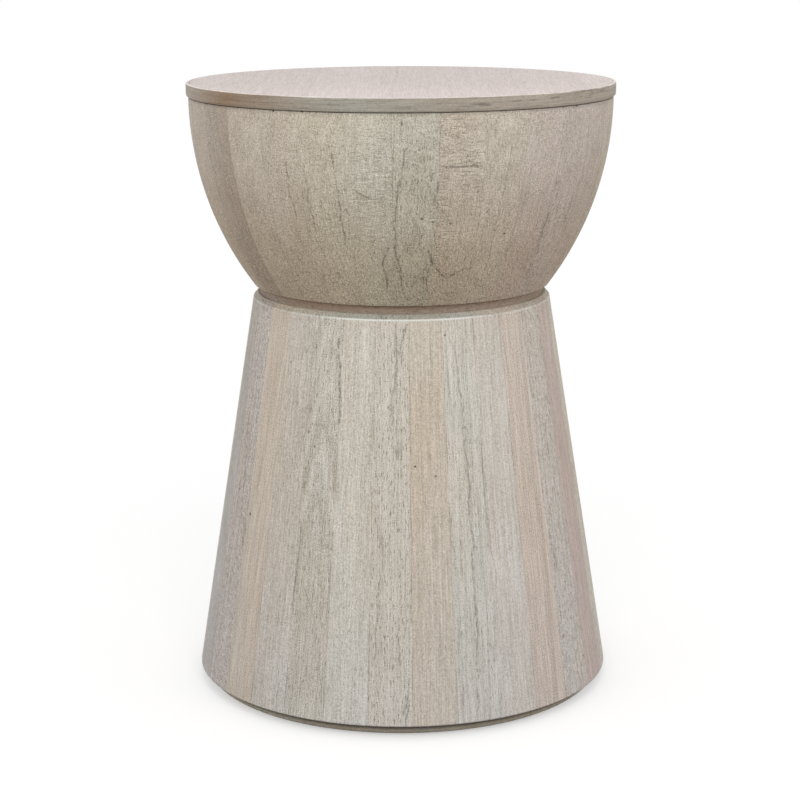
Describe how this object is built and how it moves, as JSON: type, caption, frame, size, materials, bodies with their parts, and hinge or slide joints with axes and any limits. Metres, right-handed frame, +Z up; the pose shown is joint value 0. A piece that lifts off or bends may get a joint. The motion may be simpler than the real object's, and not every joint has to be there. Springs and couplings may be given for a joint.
{
  "type": "drum side table",
  "caption": "Hourglass drum side table of whitewashed wood staves: a half-round bowl with a lift-off round lid, on a short neck over a tapered cone foot with a recessed plinth.",
  "frame": {"origin": "on the floor, under the middle of the table", "axes": "+Z up, -Y to the front of the picture, +X to its right"},
  "size_m": [0.39, 0.39, 0.56],
  "materials": {
    "whitewashed_staves": "whitewashed, matte",
    "whitewashed_lid": "whitewashed, matte",
    "whitewashed_turned": "whitewashed, matte",
    "bare_wood": "planed, unfinished",
    "zinc_screws": "zinc plated",
    "felt": "pressed felt"
  },
  "bodies": {
    "drum": {"bowl_floor": "bare_wood", "bowl_panel_01": "whitewashed_staves", "bowl_panel_02": "whitewashed_staves", "bowl_panel_03": "whitewashed_staves", "bowl_panel_04": "whitewashed_staves", "bowl_panel_05": "whitewashed_staves", "bowl_panel_06": "whitewashed_staves", "bowl_panel_07": "whitewashed_staves", "bowl_panel_08": "whitewashed_staves", "bowl_panel_09": "whitewashed_staves", "bowl_panel_10": "whitewashed_staves", "cone_foot_former": "bare_wood", "cone_stave_01": "whitewashed_staves", "cone_stave_02": "whitewashed_staves", "cone_stave_03": "whitewashed_staves", "cone_stave_04": "whitewashed_staves", "cone_stave_05": "whitewashed_staves", "cone_stave_06": "whitewashed_staves", "cone_stave_07": "whitewashed_staves", "cone_stave_08": "whitewashed_staves", "cone_stave_09": "whitewashed_staves", "cone_stave_10": "whitewashed_staves", "cone_stave_11": "whitewashed_staves", "cone_stave_12": "whitewashed_staves", "cone_stave_13": "whitewashed_staves", "cone_stave_14": "whitewashed_staves", "cone_stave_15": "whitewashed_staves", "cone_stave_16": "whitewashed_staves", "cone_stave_17": "whitewashed_staves", "cone_stave_18": "whitewashed_staves", "cone_stave_19": "whitewashed_staves", "cone_stave_20": "whitewashed_staves", "cone_stave_21": "whitewashed_staves", "cone_stave_22": "whitewashed_staves", "cone_stave_23": "whitewashed_staves", "cone_stave_24": "whitewashed_staves", "cone_stave_25": "whitewashed_staves", "cone_stave_26": "whitewashed_staves", "cone_stave_27": "whitewashed_staves", "cone_stave_28": "whitewashed_staves", "cone_stave_29": "whitewashed_staves", "cone_stave_30": "whitewashed_staves", "cone_top_former": "bare_wood", "floor_pads": "felt", "neck_collar": "whitewashed_turned", "neck_screws": "zinc_screws", "plinth_disc": "whitewashed_turned", "plinth_screws": "zinc_screws"},
    "lid": {"lid_batten_front": "bare_wood", "lid_batten_rear": "bare_wood", "lid_batten_screws": "zinc_screws", "lid_board_1": "whitewashed_lid", "lid_board_2": "whitewashed_lid", "lid_board_3": "whitewashed_lid", "lid_board_4": "whitewashed_lid", "lid_board_5": "whitewashed_lid", "lid_board_6": "whitewashed_lid", "lid_board_7": "whitewashed_lid", "lid_edge_band": "whitewashed_lid"}
  },
  "joints": [
    {"name": "lid_lift", "type": "slide", "parent": "drum", "child": "lid", "axis": [0, 0, 1], "range_m": [0, 0.25]}
  ]
}
